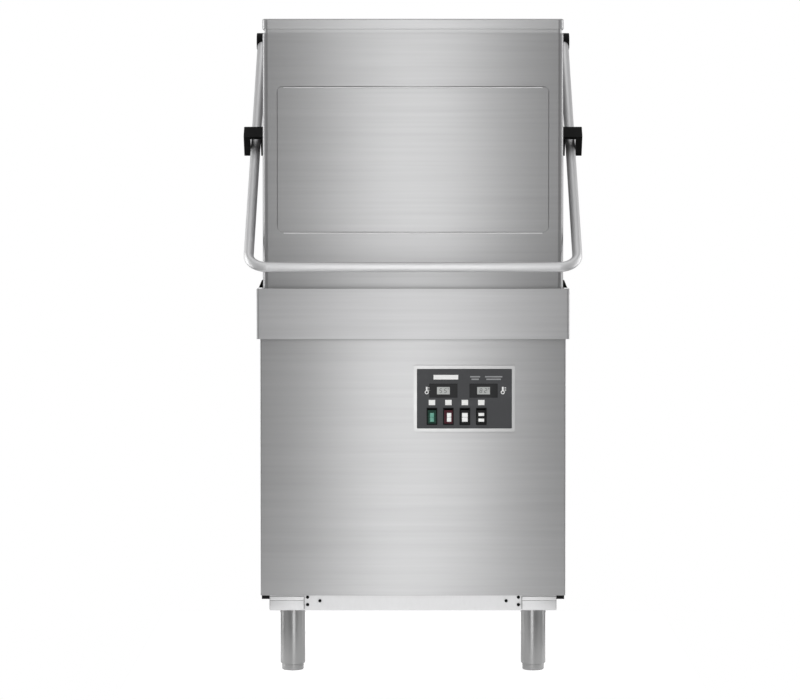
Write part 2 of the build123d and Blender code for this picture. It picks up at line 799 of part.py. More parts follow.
def make_springs():
    radius, lower = spring_diameter / 2, spring_anchor_z
    upper = lever_end_z - 2 * lever_eye
    springs = []
    for x in (-spring_offset, spring_offset):
        coil = pipe(radius, spring_wall, (x, spring_y, lower), (x, spring_y, upper))
        coil += rod(radius, (x, spring_y, upper - 4), (x, spring_y, upper))
        coil += rod(spring_hook, (x, spring_y, upper), (x, spring_y, lever_end_z - lever_eye - 1))
        springs.append(coil)
    add_node("springs", springs)


# ---------------------------------------------------------------- hood
def make_hood():
    open_rear = hood_rear + 4 * flange
    body = rounded_block(half_hood, hood_front, open_rear, hood_bottom, neck_bottom, hood_corner)
    body -= rounded_block(half_hood - sheet, hood_front + sheet, open_rear - sheet,
                          hood_bottom, neck_bottom - sheet, hood_corner - sheet)
    body -= block(-half_hood + flange, half_hood - flange, hood_front + flange, open_rear,
                  neck_bottom - sheet, neck_bottom)
    body -= block(-half_hood - overcut, half_hood + overcut, hood_rear, open_rear,
                  hood_bottom - overcut, neck_bottom + overcut)
    lip = block(half_hood - flange, half_hood - sheet / 2, hood_rear - sheet, hood_rear,
                hood_bottom, neck_bottom)
    for side in both_sides(lip):
        body += side
    press_height = press_top - press_bottom
    level = (press_bottom + press_top) / 2
    outline = Plane.XZ * RectangleRounded(press_width, press_height, press_corner)
    pad = extrude(outline, amount=-(press_depth + sheet / 2), taper=20)
    inner_outline = Plane.XZ * RectangleRounded(press_width - 2 * sheet, press_height - 2 * sheet,
                                                press_corner - sheet)
    recess = extrude(inner_outline, amount=-press_depth, taper=45)
    body = body + Pos(0, hood_front + sheet / 2, level) * pad - Pos(0, hood_front, level) * recess
    add_node("hood_wrap", body)


def make_hood_lid():
    neck_top = hood_top - lid_height
    inset = lid_neck_inset
    neck = ring(half_hood - inset, hood_front + inset, hood_rear - inset, neck_bottom,
                neck_top + sheet / 2, sheet, hood_corner - inset)
    cap = rounded_block(half_hood, hood_front, hood_rear, neck_top, hood_top, hood_corner)
    top_edges = cap.edges().group_by(Axis.Z)[-1]
    cap = fillet(top_edges, lid_edge)
    cap -= rounded_block(half_hood - sheet, hood_front + sheet, hood_rear - sheet,
                         neck_top + sheet, hood_top - sheet, hood_corner - sheet)
    cap -= rounded_block(half_hood - inset - sheet, hood_front + inset + sheet,
                         hood_rear - inset - sheet, neck_top, neck_top + sheet,
                         hood_corner - inset - sheet)
    add_node("hood_lid", neck + cap)


def make_hood_guides():
    low = shoe_levels[0] - bracket_margin
    high = shoe_levels[1] + shoe_height + bracket_margin
    bracket_rear = hood_rear + bracket_sheet
    bracket = block(column_middle - bracket_half, half_hood - sheet - 1, hood_rear, bracket_rear,
                    low, high)
    add_node("hood_guide_brackets", both_sides(bracket))
    inset = frame_wall + slide_gap
    half_neck = column_slot / 2 - slide_gap
    shoes = []
    for level in shoe_levels:
        shoe = block(column_inner + inset, column_outer - inset, column_front + inset,
                     column_rear - inset, level, level + shoe_height)
        shoe += block(column_middle - half_neck, column_middle + half_neck, bracket_rear,
                      column_front + inset + 1, level, level + shoe_height)
        shoes += both_sides(shoe)
    add_node("hood_shoes", shoes)


def make_saddles():
    place = Pos(0, saddle_y, saddle_z) * Rot(degrees(arm_angle), 0, 0)
    pin = rod(pin_diameter / 2, (half_hood + pin_plate_thickness - running_gap, saddle_y, saddle_z),
              (saddle_channel_inner - saddle_side_gap, saddle_y, saddle_z))
    backing = Box(pin_plate_thickness, pin_plate, pin_plate)
    backing = Pos(half_hood + pin_plate_thickness / 2, saddle_y, saddle_z) * backing
    backing = fillet(backing.edges().filter_by(Axis.X), pin_plate_corner)
    add_node("hood_pivot_pins", both_sides(backing + pin))
    half_length = saddle_length / 2
    body = block(saddle_inner, saddle_outer, -half_length, half_length, -saddle_bottom, saddle_top)
    body = fillet(body.edges().filter_by(Axis.Z), saddle_edge)
    body -= block(saddle_channel_inner, saddle_channel_outer, -saddle_length, saddle_length,
                  -saddle_bottom - overcut, saddle_top - saddle_roof)
    body = place * body
    body -= rod(pin_diameter / 2 + running_gap, (saddle_inner - overcut, saddle_y, saddle_z),
                (saddle_channel_inner + overcut, saddle_y, saddle_z))
    add_node("saddle_right", body)
    add_node("saddle_left", mirror(body, about=Plane.YZ))


# ---------------------------------------------------------------- handle
def along_arm(reach):
    """Point on the right arm's axis, measured down it from the shaft."""
    return arm_offset, shaft_y - reach * cos(arm_angle), shaft_z - reach * sin(arm_angle)


def make_handle():
    start = along_arm(shaft_seat)
    end = (-arm_offset, start[1], start[2])
    corner = (arm_offset, -bar_reach, bar_height)
    other = (-arm_offset, -bar_reach, bar_height)
    tube = bent_pipe([start, corner, other, end], bend_radius, tube_diameter / 2, tube_wall)
    add_node("handle_tube", tube)
    boss = rod(boss_diameter / 2, (boss_inner, shaft_y, shaft_z), (boss_outer, shaft_y, shaft_z))
    boss = fillet(boss.edges().filter_by(GeomType.CIRCLE), boss_edge)
    boss -= rod(shaft_diameter / 2, (boss_inner, shaft_y, shaft_z),
                (boss_inner + shaft_seat, shaft_y, shaft_z))
    boss -= rod(tube_diameter / 2, start, along_arm(boss_diameter))
    add_node("pivot_bosses", both_sides(boss))


def make_lever_shaft():
    reach = boss_inner + shaft_seat
    shaft = rod(shaft_diameter / 2, (-reach, shaft_y, shaft_z), (reach, shaft_y, shaft_z))
    thick, tall = lever_bar
    half = lever_thickness / 2
    for x in (-spring_offset, spring_offset):
        hub = rod(lever_hub, (x - half, shaft_y, shaft_z), (x + half, shaft_y, shaft_z))
        bar = block(-thick / 2, thick / 2, 0, lever_length, -tall / 2, tall / 2)
        bar = Pos(x, shaft_y, shaft_z) * Rot(lever_rest_angle, 0, 0) * bar
        eye = rod(lever_eye, (x - thick / 2, spring_y, lever_end_z),
                  (x + thick / 2, spring_y, lever_end_z))
        shaft = shaft + hub + bar + eye
        shaft -= rod(lever_hole, (x - thick, spring_y, lever_end_z), (x + thick, spring_y, lever_end_z))
    add_node("lever_shaft", shaft)


# ---------------------------------------------------------------- control panel
def switch_centres():
    level = bezel_bottom + switch_level
    return [(bezel_left + switch_first + switch_pitch * index, level) for index in range(4)]


def switch_block(x, z, inset, front, back):
    """Box on a switch's centre, smaller than its outer rim all round by the inset."""
    half_wide, half_tall = switch_width / 2 - inset, switch_height / 2 - inset
    return block(x - half_wide, x + half_wide, front, back, z - half_tall, z + half_tall)


def panel_block(inset, front, radius):
    """Rounded plate on the panel, smaller than the bezel all round by the inset."""
    plate = block(bezel_left + inset, bezel_left + bezel_width - inset, front, 0,
                  bezel_bottom + inset, bezel_bottom + bezel_height - inset)
    return fillet(plate.edges().filter_by(Axis.Y), radius)


def make_control_panel():
    bezel = panel_block(0, -bezel_depth, bezel_corner)
    add_node("control_bezel", bezel - panel_block(bezel_border, -bezel_depth, fascia_corner))
    fascia = panel_block(bezel_border, -fascia_depth, fascia_corner)
    rim_front_y = -fascia_depth - switch_rim_depth
    lip = switch_rim / 2
    frames = []
    for x, z in switch_centres():
        fascia -= switch_block(x, z, lip, -fascia_depth, 0)
        rim = switch_block(x, z, 0, rim_front_y, -fascia_depth)
        rim += switch_block(x, z, lip, -fascia_depth - switch_rim_depth / 2, switch_body_depth)
        rim -= switch_block(x, z, switch_rim, rim_front_y, switch_body_depth - switch_wall)
        frames.append(rim)
    add_node("control_fascia", fascia)
    add_node("switch_frames", frames)
    wide, tall, deep = display_size
    displays = []
    for x in display_centres:
        displays.append(block(x - wide / 2, x + wide / 2, -fascia_depth - deep, -fascia_depth,
                              display_level - tall / 2, display_level + tall / 2))
    add_node("display_windows", displays)
    lamps = []
    for x, _ in switch_centres():
        lamps.append(rod(lamp_radius, (x, -fascia_depth, lamp_level),
                         (x, -fascia_depth - lamp_depth, lamp_level)))
    add_node("indicator_lamps", lamps)


def make_rockers():
    half_tall = switch_height / 2 - switch_rim - rocker_ends
    half_wide = switch_width / 2 - switch_rim - rocker_gap
    half_trunnion = half_wide + rocker_gap / 2
    face = rocker_pivot_y + fascia_depth + rocker_proud
    rise = half_tall * sin(radians(rocker_swing / 2))
    half_back = half_tall - 2 * rocker_ends
    for index, (x, z) in enumerate(switch_centres()):
        outline = Plane.YZ * Polyline((-face, 0), (-face - rise, half_tall), (rocker_back, half_back),
                                      (rocker_back, -half_back), (-face - rise, -half_tall),
                                      close=True)
        rocker = extrude(make_face(outline), amount=half_wide, both=True)
        rocker += rod(trunnion_radius, (-half_trunnion, 0, 0), (half_trunnion, 0, 0))
        rocker = Pos(x, rocker_pivot_y, z) * Rot(rocker_swing / 2, 0, 0) * rocker
        add_node(f"rocker_{index + 1}", rocker)


def make_control_box():
    left, right = bezel_left + 2, bezel_left + bezel_width - 2
    low, high = bezel_bottom - 4, tank_floor - box_clearance
    box = block(left, right, panel_sheet, box_depth, low, high)
    box -= block(left + sheet, right - sheet, panel_sheet, box_depth - sheet,
                 low + sheet, high - sheet)
    add_node("control_box", box)


make_base_frame()
make_foot_mounts()
make_foot_pads()
make_base_screws()
make_front_panel()
make_side_panels()
make_rear_panel()
make_panel_plugs()
make_collar()
make_hood_wedges()
make_wash_tank()
make_rack_guide()
make_lower_hub()
make_upper_manifold()
make_arms()
make_filters()
make_standpipe()
make_sump_strainer()
make_tank_element()
make_wash_pump()
make_hoses()
make_wash_riser()
make_boiler()
make_dosing_pumps()
make_services()
make_rear_wall()
make_columns()
make_spring_anchor()
make_rear_cover()
make_bearings()
make_springs()
make_hood()
make_hood_lid()
make_hood_guides()
make_saddles()
make_handle()
make_lever_shaft()
make_control_panel()
make_rockers()
make_control_box()

os.makedirs("parts", exist_ok=True)
for name, shape in nodes.items():
    export_step(shape, f"parts/{name}.step")
print(len(nodes), "nodes")
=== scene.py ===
"""Looks of the hood-type dishwasher: finishes, printed panel, fittings, studio."""
import json
from math import atan2, pi, radians

import bmesh
import bpy
from mathutils import Matrix, Vector


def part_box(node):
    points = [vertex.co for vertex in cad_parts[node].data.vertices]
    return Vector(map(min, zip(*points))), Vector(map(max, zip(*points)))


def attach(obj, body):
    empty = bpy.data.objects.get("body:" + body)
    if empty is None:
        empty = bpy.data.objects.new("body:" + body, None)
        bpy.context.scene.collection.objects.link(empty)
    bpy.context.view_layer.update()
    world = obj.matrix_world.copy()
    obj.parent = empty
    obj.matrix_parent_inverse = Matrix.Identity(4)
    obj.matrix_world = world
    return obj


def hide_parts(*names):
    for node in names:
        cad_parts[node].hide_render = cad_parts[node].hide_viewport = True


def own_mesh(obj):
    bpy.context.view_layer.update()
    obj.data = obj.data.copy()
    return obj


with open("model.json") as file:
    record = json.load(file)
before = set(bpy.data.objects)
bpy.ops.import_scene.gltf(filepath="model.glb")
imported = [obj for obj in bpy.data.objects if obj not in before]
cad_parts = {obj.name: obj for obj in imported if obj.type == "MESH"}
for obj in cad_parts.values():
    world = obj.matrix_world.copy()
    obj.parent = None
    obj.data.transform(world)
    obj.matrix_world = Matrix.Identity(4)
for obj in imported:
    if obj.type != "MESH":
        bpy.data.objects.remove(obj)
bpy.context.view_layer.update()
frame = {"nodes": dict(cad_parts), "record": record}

nodes = frame["nodes"]
mounts = {mount["name"]: mount for mount in frame["record"]["mounts"]}


# ------------------------------------------------------------------ shader maths
class Wire:
    """A socket that Python arithmetic turns into Math nodes."""

    def __init__(self, finish, socket):
        self.finish, self.socket = finish, socket

    def _join(self, operation, first, second, clamp=False):
        maths = self.finish.node("ShaderNodeMath", {"operation": operation, "use_clamp": clamp},
                                 {0: first, 1: second})
        return maths.out(0)

    def __add__(self, other):
        return self._join("ADD", self, other)

    __radd__ = __add__

    def __sub__(self, other):
        return self._join("SUBTRACT", self, other)

    def __rsub__(self, other):
        return self._join("SUBTRACT", other, self)

    def __mul__(self, other):
        return self._join("MULTIPLY", self, other)

    __rmul__ = __mul__

    def __abs__(self):
        return self._join("ABSOLUTE", self, 0.0)

    def clamped(self):
        return self._join("ADD", self, 0.0, clamp=True)

    def smooth(self, low, high):
        """0 below low, 1 above high, with a soft step between."""
        step = self.finish.node("ShaderNodeMapRange", {"interpolation_type": "SMOOTHSTEP"},
                                {"Value": self, "From Min": low, "From Max": high})
        return step.out("Result")


class Made:
    """A node that has been placed, with its outputs by name or number."""

    def __init__(self, finish, node):
        self.finish, self.node = finish, node

    def out(self, key):
        return Wire(self.finish, self.node.outputs[key])


class Finish:
    """One material and the few moves that build its nodes."""

    def __init__(self, name):
        self.material = bpy.data.materials.new(name)
        self.material.use_nodes = True
        self.tree = self.material.node_tree
        self.shader = self.tree.nodes["Principled BSDF"]

    def node(self, kind, settings=None, sockets=None):
        made = self.tree.nodes.new(kind)
        for key, value in (settings or {}).items():
            setattr(made, key, value)
        for key, value in (sockets or {}).items():
            self.feed(made.inputs[key], value)
        return Made(self, made)

    def feed(self, socket, value):
        if isinstance(value, Wire):
            self.tree.links.new(value.socket, socket)
        elif isinstance(value, tuple) and socket.type == "RGBA":
            socket.default_value = (*value, 1.0)
        else:
            socket.default_value = value

    def set(self, **sockets):
        for key, value in sockets.items():
            self.feed(self.shader.inputs[key.replace("_", " ")], value)
        return self

    def place(self, scale=(1, 1, 1)):
        """Object coordinates, scaled along each axis."""
        coords = self.node("ShaderNodeTexCoord").out("Object")
        return self.node("ShaderNodeMapping", None, {"Vector": coords, "Scale": scale}).out("Vector")

    def axis(self, letter, vector):
        return self.node("ShaderNodeSeparateXYZ", None, {"Vector": vector}).out(letter)

    def noise(self, vector, scale=1.0, detail=2.0, rough=0.5):
        made = self.node("ShaderNodeTexNoise", {"noise_dimensions": "3D"},
                         {"Vector": vector, "Scale": scale, "Detail": detail, "Roughness": rough})
        return made.out("Fac")

    def mix(self, factor, first, second):
        made = self.node("ShaderNodeMix", {"data_type": "RGBA"}, {0: factor, 6: first, 7: second})
        return made.out(2)

    def bump(self, height, distance, strength):
        sockets = {"Height": height, "Distance": distance, "Strength": strength}
        return self.node("ShaderNodeBump", None, sockets).out("Normal")


# ------------------------------------------------------------------ finishes
def brushed_steel(name, tone, grain, rough=0.50, aniso=0.9):
    """Sheet steel with long brush lines along one axis, faint cloudiness and fine scratches."""
    finish = Finish(name)
    fine = {"x": (3, 900, 900), "y": (900, 3, 900), "z": (900, 900, 3), "xy": (3, 3, 1100)}[grain]
    broad = tuple(value / 9 if value > 50 else value * 0.8 for value in fine)
    lines = finish.noise(finish.place(fine), 1.0, 3.0, 0.6)
    bands = finish.noise(finish.place(broad), 1.0, 2.0, 0.5)
    cloud = finish.noise(finish.place((2.2, 2.2, 2.2)), 1.0, 3.0, 0.55)
    light = (bands - 0.5) * 0.6 + (cloud - 0.5) * 0.3 + (lines - 0.5) * 0.5
    base = finish.mix((light + 0.5).clamped(), tuple(value * 0.86 for value in tone),
                      tuple(min(value * 1.12, 1.0) for value in tone))
    finish.set(Base_Color=base, Metallic=1.0, Anisotropic=aniso, Anisotropic_Rotation=0.25,
               Roughness=(lines - 0.5) * 0.14 + (cloud - 0.5) * 0.08 + rough,
               Normal=finish.bump(lines, 0.00001, 0.5))
    return finish.material


def plain_steel(name, tone, rough=0.38):
    """Mill-finish steel with a cloudy surface and rubbed marks."""
    finish = Finish(name)
    cloud = finish.noise(finish.place((9, 9, 9)), 1.0, 4.0, 0.6)
    rub = finish.noise(finish.place((160, 30, 60)), 1.0, 3.0, 0.6)
    base = finish.mix(((cloud - 0.5) * 0.6 + 0.5).clamped(), tuple(v * 0.84 for v in tone), tone)
    finish.set(Base_Color=base, Metallic=1.0,
               Roughness=(cloud - 0.5) * 0.16 + (rub - 0.5) * 0.14 + rough,
               Normal=finish.bump(rub, 0.00002, 0.5))
    return finish.material


def polished_tube(name, tone, rough=0.14):
    """Drawn tube, polished round its girth, with faint handling marks."""
    finish = Finish(name)
    marks = finish.noise(finish.place((40, 40, 40)), 1.0, 5.0, 0.65)
    fine = finish.noise(finish.place((700, 700, 700)), 1.0, 2.0, 0.5)
    base = finish.mix(marks, tuple(v * 0.93 for v in tone), tone)
    finish.set(Base_Color=base, Metallic=1.0,
               Roughness=(marks - 0.5) * 0.12 + rough,
               Normal=finish.bump(fine, 0.000006, 0.4))
    return finish.material


def moulded(name, tone, rough=0.45, grain=0.00006, grain_scale=1400, edge=1.25, gloss=0.5):
    """Moulded plastic with a spark-eroded grain and slightly paler rubbed areas."""
    finish = Finish(name)
    pits = finish.noise(finish.place((1, 1, 1)), grain_scale, 3.0, 0.6)
    wear = finish.noise(finish.place((24, 24, 24)), 1.0, 4.0, 0.6)
    rubbed = wear.smooth(0.50, 0.78)
    base = finish.mix(rubbed, tone, tuple(min(v * edge + 0.004, 1.0) for v in tone))
    finish.set(Base_Color=base, Roughness=rough - rubbed * 0.10 + (pits - 0.5) * 0.10,
               Specular_IOR_Level=gloss,
               Normal=finish.bump(pits, grain, 0.6))
    return finish.material


def rubber(name, tone=(0.018, 0.018, 0.019)):
    """Moulded rubber with a dusty bloom."""
    finish = Finish(name)
    dust = finish.noise(finish.place((60, 60, 60)), 1.0, 5.0, 0.65)
    grain = finish.noise(finish.place((1, 1, 1)), 900, 2.0, 0.5)
    base = finish.mix(dust.smooth(0.45, 0.8) * 0.5, tone, (0.09, 0.09, 0.088))
    finish.set(Base_Color=base, Roughness=dust * 0.2 + 0.6, Normal=finish.bump(grain, 0.00005, 0.6))
    return finish.material


steel_front = brushed_steel("sheet_brushed_across", (0.41, 0.41, 0.413), "x")
steel_wrap = brushed_steel("sheet_brushed_round", (0.41, 0.41, 0.413), "xy")
steel_side = brushed_steel("sheet_brushed_deep", (0.41, 0.41, 0.413), "y")
steel_top = brushed_steel("sheet_brushed_top", (0.42, 0.42, 0.423), "x", 0.46, aniso=0.5)
steel_collar = brushed_steel("sheet_brushed_collar", (0.56, 0.56, 0.565), "xy", 0.60)
steel_rail = plain_steel("rolled_rail", (0.69, 0.69, 0.695), 0.60)
steel_plain = plain_steel("mill_sheet", (0.48, 0.48, 0.485))
steel_tube = polished_tube("ground_tube", (0.66, 0.66, 0.665), 0.50)
# painted shade: the feet's polished steel gets a far darker tone than the handle tube's, standing in
# for the dark reflections down their sides
foot_steel_painted_dark = polished_tube("spun_foot_painted_dark", (0.27, 0.27, 0.27), 0.30)
black_block = moulded("black_moulded_block", (0.003, 0.003, 0.0031), 0.60, gloss=0.12)
white_nylon = moulded("white_nylon", (0.72, 0.72, 0.69), 0.5)
grey_moulded = moulded("grey_moulded", (0.22, 0.23, 0.24), 0.5)
black_rubber = rubber("hose_rubber")
painted_motor = moulded("painted_casting", (0.10, 0.13, 0.17), 0.4, 0.0002, 500)
brass = plain_steel("machined_brass", (0.62, 0.47, 0.22), 0.25)
zinc = plain_steel("zinc_plate", (0.66, 0.68, 0.70), 0.28)

feet = ("foot_front_left", "foot_front_right", "foot_rear_left", "foot_rear_right")
finishes = {
    steel_front: ("front_panel", "rear_panel", "rear_cover"),
    steel_wrap: ("hood_wrap",),
    steel_collar: ("collar",),
    steel_side: ("side_panels",),
    steel_top: ("hood_lid",),
    steel_rail: ("base_frame",),
    steel_plain: ("wash_tank", "rear_wall", "rear_columns", "spring_anchor", "hood_guide_brackets",
                  "lower_hub", "upper_manifold", "wash_riser", "boiler", "control_box",
                  "surface_filters", "lower_wash_arm", "upper_wash_arm", "lower_rinse_arm",
                  "upper_rinse_arm", "rack_guide", "standpipe"),
    steel_tube: ("handle_tube", "lever_shaft", "hood_pivot_pins"),
    foot_steel_painted_dark: ("foot_mounts", *feet),
    black_block: ("saddle_left", "saddle_right", "pivot_bosses", "hood_wedges", "panel_plugs",
                  "switch_frames", "cable_gland", "base_screws"),
    white_nylon: ("hood_shoes", "dosing_pumps"),
    grey_moulded: ("drain_spigot", "sump_strainer", "wash_pump_volute", "shaft_bearings"),
    black_rubber: ("hoses",),
    painted_motor: ("wash_pump_motor",),
    brass: ("inlet_valve",),
    zinc: ("springs", "tank_element"),
}


def dress(material, *names):
    """Puts one finish on CAD nodes."""
    for name in names:
        slots = nodes[name].data.materials
        slots.clear()
        slots.append(material)


for material, names in finishes.items():
    dress(material, *names)

# ------------------------------------------------------------------ control panel finishes
fascia_film = moulded("fascia_film", (0.052, 0.053, 0.056), 0.55, 0.00002, 900, 1.1, 0.25)
bezel_metal = plain_steel("bezel_anodised", (0.43, 0.43, 0.43), 0.35)
window_film = moulded("display_film", (0.36, 0.37, 0.36), 0.25, 0.00001, 900, 1.1)
lamp_white = moulded("lamp_white", (0.80, 0.80, 0.78), 0.3, 0.00001, 900, 1.05)
rocker_green = moulded("rocker_green", (0.002, 0.030, 0.018), 0.45, 0.00001, 900, 1.1, 0.2)
rocker_red = moulded("rocker_red", (0.050, 0.002, 0.009), 0.45, 0.00001, 900, 1.1, 0.2)
rocker_black = moulded("rocker_black", (0.004, 0.004, 0.0042), 0.45, 0.00001, 900, 1.1, 0.2)
dress(fascia_film, "control_fascia")
dress(bezel_metal, "control_bezel")
dress(window_film, "display_windows")
dress(lamp_white, "indicator_lamps")
dress(rocker_green, "rocker_1")
dress(rocker_red, "rocker_2")
dress(rocker_black, "rocker_3", "rocker_4")


panel_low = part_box("front_panel")[0]
front_y = panel_low.y


# ------------------------------------------------------------------ piece helpers
up_axis, back_axis = (0, 0, 1), (0, 1, 0)


def turned_to(direction):
    """Rotation that brings +Z onto a direction."""
    return Vector(direction).to_track_quat("Z", "Y").to_matrix().to_4x4()


class Form:
    """A bmesh that grows by operators and ends as one piece riding on a body."""

    def __init__(self):
        self.mesh = bmesh.new()

    def slab(self, low, high, bevel=0.0):
        """Box between two corners, its edges eased."""
        low, high = Vector(low), Vector(high)
        size = high - low
        place = Matrix.Translation((low + high) / 2) @ Matrix.Diagonal((*size, 1))
        made = bmesh.ops.create_cube(self.mesh, size=1.0, matrix=place)
        if bevel:
            edges = {edge for vert in made["verts"] for edge in vert.link_edges}
            bmesh.ops.bevel(self.mesh, geom=list(edges), offset=bevel, affect="EDGES",
                            segments=2, profile=0.5, material=-1)
        return self

    def drum(self, start, end, radius, tip, sides, bevel=0.0):
        """Round bar from one point to another, or a cone if it has a tip radius, its rims eased."""
        start, end = Vector(start), Vector(end)
        run = end - start
        place = Matrix.Translation((start + end) / 2) @ turned_to(run)
        made = bmesh.ops.create_cone(self.mesh, cap_ends=True, segments=sides, radius1=radius,
                                     radius2=radius if tip is None else tip, depth=run.length,
                                     matrix=place)
        if bevel:
            caps = {face for vert in made["verts"] for face in vert.link_faces
                    if len(face.verts) > 4}
            rims = {edge for face in caps for edge in face.edges}
            bmesh.ops.bevel(self.mesh, geom=list(rims), offset=bevel, affect="EDGES",
                            segments=2, profile=0.5, material=-1)
        return self

    def hoop(self, centre, axis, radius, wire, sides, section):
        """Round ring of round wire about an axis."""
        made = bmesh.ops.create_circle(self.mesh, segments=section, radius=wire)
        turn = turned_to(axis)
        across = turn @ Vector((1, 0, 0))
        lay = Matrix.Translation(Vector(centre) + across * radius) @ turn \
            @ Matrix.Rotation(radians(90), 4, "X")
        bmesh.ops.transform(self.mesh, matrix=lay, verts=made["verts"])
        rim = list({edge for vert in made["verts"] for edge in vert.link_edges})
        bmesh.ops.spin(self.mesh, geom=made["verts"] + rim, cent=centre, axis=Vector(axis),
                       angle=2 * pi, steps=sides, use_merge=True, use_duplicate=False)
        return self

    def pan_screw(self, place, outward):
        """Pan-head screw with a cross recess, its flat against a surface."""
        radius, proud = 0.0042, 0.0022
        outward = Vector(outward).normalized()
        foot = Vector(place)
        self.drum(foot, foot + outward * proud, radius, radius * 0.72, 20, radius * 0.12)
        turn = turned_to(outward)
        top = foot + outward * proud
        for angle in (0, 90):
            bar = Matrix.Translation(top) @ turn @ Matrix.Rotation(radians(angle), 4, "Z") \
                @ Matrix.Diagonal((radius * 0.95, radius * 0.22, proud * 0.12, 1))
            bmesh.ops.create_cube(self.mesh, size=1.0, matrix=bar)
        return self

    def place(self, name, material, body, slot):
        """Turns the form into a piece, smooth but for its sharp edges."""
        sharp_edge = radians(40)
        bmesh.ops.recalc_face_normals(self.mesh, faces=self.mesh.faces[:])
        data = bpy.data.meshes.new(name)
        self.mesh.to_mesh(data)
        self.mesh.free()
        data.materials.append(material)
        piece = bpy.data.objects.new(name, data)
        bpy.context.scene.collection.objects.link(piece)
        data.shade_smooth()
        data.set_sharp_from_angle(angle=sharp_edge)
        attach(piece, body)
        return piece


def both(make):
    """Calls a maker for the left and the right side."""
    for side, word in ((-1, "left"), (1, "right")):
        make(side, word)


# ------------------------------------------------------------------ control panel
print_white = moulded("printed_white", (0.80, 0.80, 0.79), 0.4, 0.00001, 900, 1.03)
print_grey = moulded("printed_grey", (0.24, 0.245, 0.25), 0.4, 0.00001, 900, 1.05)
smoked = moulded("smoked_window", (0.012, 0.012, 0.013), 0.45, 0.00001, 900, 1.1, 0.2)
digit_ink = moulded("digit_ink", (0.07, 0.075, 0.075), 0.3, 0.00001, 900, 1.05)
lens_white = moulded("rocker_lens_white", (0.86, 0.86, 0.85), 0.3, 0.00001, 900, 1.03)
lens_green = moulded("rocker_lens_green", (0.10, 0.32, 0.24), 0.3, 0.00001, 900, 1.05)

fascia_low, fascia_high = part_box("control_fascia")
lamp_low, lamp_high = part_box("indicator_lamps")
rocker_boxes = [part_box(f"rocker_{number}") for number in range(1, 5)]
rocker_xs = [(low.x + high.x) / 2 for low, high in rocker_boxes]
skin = fascia_low.y
ink = 0.00015


def flat_mark(form, x, z, wide, tall):
    """Thin printed patch on the fascia, centred on x and z."""
    form.slab((x - wide / 2, skin - ink, z - tall / 2), (x + wide / 2, skin + ink / 2, z + tall / 2))


def make_print():
    """Plain bars where a maker would set a name, and a thermometer beside each display."""
    white, grey = Form(), Form()
    top = fascia_high.z
    left = fascia_low.x
    flat_mark(white, left + 0.0635, top - 0.0185, 0.054, 0.0100)
    for x, wide in ((0.1275, 0.022), (0.168, 0.038)):
        for row in range(2):
            flat_mark(grey, left + x, top - 0.0175 - 0.0055 * row, wide - 0.006 * row, 0.0030)
    level = display_z
    for x in (left + 0.0215, left + 0.188):
        white.hoop((x, skin, level - 0.0035), back_axis, 0.0034, 0.0011, 28, 8)
        flat_mark(white, x, level + 0.0035, 0.0036, 0.0100)
        for row in range(3):
            flat_mark(white, x + 0.0055, level + 0.0005 + 0.0030 * row, 0.0036, 0.0013)
    white.place("fascia_print_white", print_white, "base", "lamp_lens")
    grey.place("fascia_print_grey", print_grey, "base", "fascia_film")


display_low, display_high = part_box("display_windows")
display_z = (display_low.z + display_high.z) / 2
display_wide = 0.028
display_xs = (display_low.x + display_wide / 2, display_high.x - display_wide / 2)
# the bars that each figure lights, lettered clockwise from the top, with g across the middle
segments = {"2": "abged", "5": "afgcd", "8": "abcdefg"}


def seven_segment(form, digit, x, z, tall, front):
    """One leaning figure of straight bars in front of a display."""
    wide, stroke = tall * 0.52, tall * 0.13
    spots = {"a": (0, tall / 2, 0), "g": (0, 0, 0), "d": (0, -tall / 2, 0),
             "f": (-wide / 2, tall / 4, 1), "b": (wide / 2, tall / 4, 1),
             "e": (-wide / 2, -tall / 4, 1), "c": (wide / 2, -tall / 4, 1)}
    for letter in segments[digit]:
        across, up, upright = spots[letter]
        half = (wide / 2 - stroke * 0.4, stroke / 2)
        if upright:
            half = (stroke / 2, tall / 4 - stroke * 0.3)
        cx, cz = x + across + up * 0.12, z + up
        form.slab((cx - half[0], front - ink, cz - half[1]), (cx + half[0], front + ink, cz + half[1]))


def make_displays():
    """Smoked surround, two figures and a degree ring for each display."""
    surround, digits = Form(), Form()
    front = display_low.y
    out_x, in_x, out_z, in_z = 0.031, 0.0142, 0.0155, 0.0082
    for x, figures in zip(display_xs, ("55", "82")):
        for low, high in (((-out_x, -out_z), (-in_x, out_z)), ((in_x, -out_z), (out_x, out_z)),
                          ((-in_x, in_z), (in_x, out_z)), ((-in_x, -out_z), (in_x, -in_z))):
            surround.slab((x + low[0], skin - 0.0005, display_z + low[1]),
                          (x + high[0], skin, display_z + high[1]))
        for place, figure in zip((-0.0058, 0.0045), figures):
            seven_segment(digits, figure, x + place, display_z, 0.0088, front)
        digits.hoop((x + 0.0110, front, display_z + 0.0042), back_axis, 0.0010, 0.00035, 16, 6)
    surround.place("display_surrounds", smoked, "base", "display_film")
    digits.place("display_digits", digit_ink, "base", "display_film")


def make_lamp_marks():
    """Pale printed tile behind each lamp."""
    form = Form()
    level = (lamp_low.z + lamp_high.z) / 2
    for x in rocker_xs:
        flat_mark(form, x, level, 0.0140, 0.0115)
    form.place("lamp_marks", print_white, "base", "lamp_lens")


